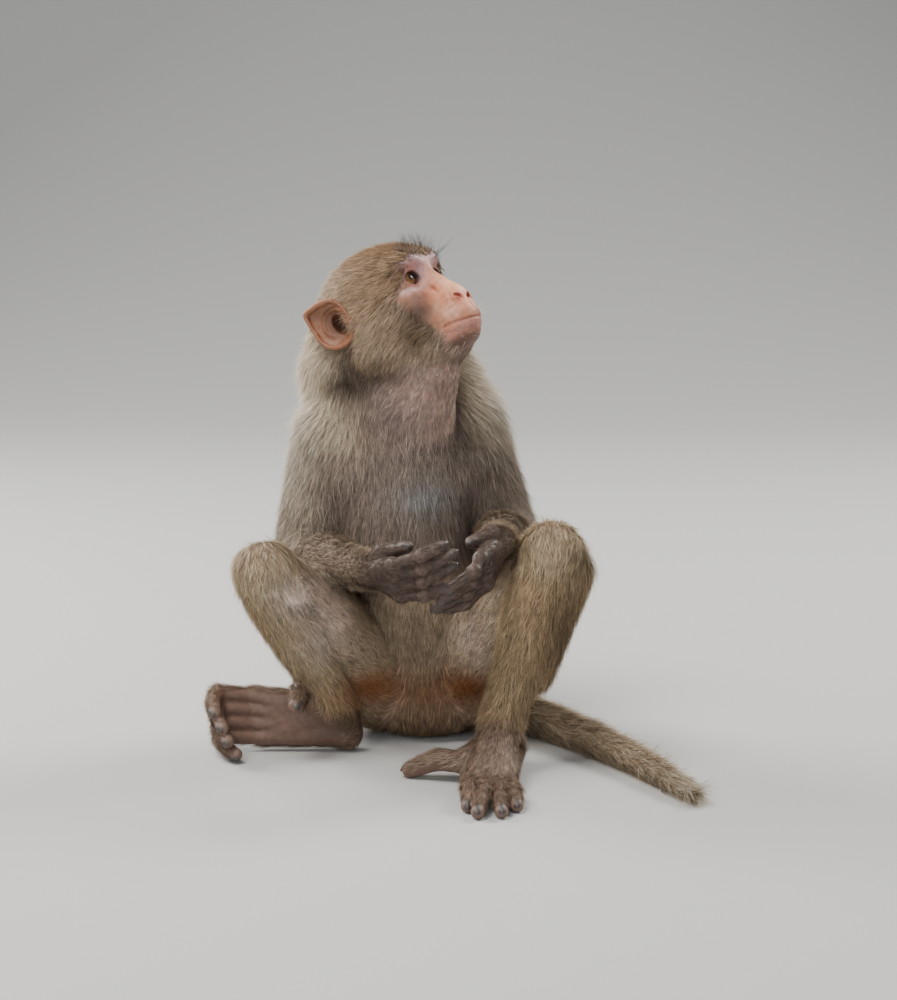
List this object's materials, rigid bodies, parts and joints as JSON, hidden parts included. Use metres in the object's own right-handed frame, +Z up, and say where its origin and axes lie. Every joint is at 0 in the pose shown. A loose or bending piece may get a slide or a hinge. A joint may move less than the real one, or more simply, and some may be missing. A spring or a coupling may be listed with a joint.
{
  "type": "rhesus macaque monkey",
  "caption": "Life-size rhesus macaque sitting upright with knees raised, hands held cupped before the chest, head turned and lifted, and its tail laid on the floor.",
  "frame": {"origin": "middle of the small flat under the animal's seat, on the floor", "axes": "+Z up, -Y the way the chest faces, +X towards the animal's left side"},
  "size_m": [0.3742, 0.3293, 0.3888],
  "materials": {
    "coat": "brown-grey fur with fine pale tips",
    "bare_skin": "bare, finely creased pinkish-brown skin",
    "eye": "wet, glossy amber-brown eye"
  },
  "bodies": {
    "root": {"trunk": "coat", "neck": "coat", "head": "coat", "tail": "coat", "upper_arm_left": "coat", "upper_arm_right": "coat", "forearm_left": "coat", "forearm_right": "coat", "thigh_left": "coat", "thigh_right": "coat", "shank_left": "coat", "shank_right": "coat", "hand_left": "bare_skin", "hand_right": "bare_skin", "foot_left": "bare_skin", "foot_right": "bare_skin", "ear_left": "bare_skin", "ear_right": "bare_skin", "eye_left": "eye", "eye_right": "eye"}
  },
  "joints": []
}
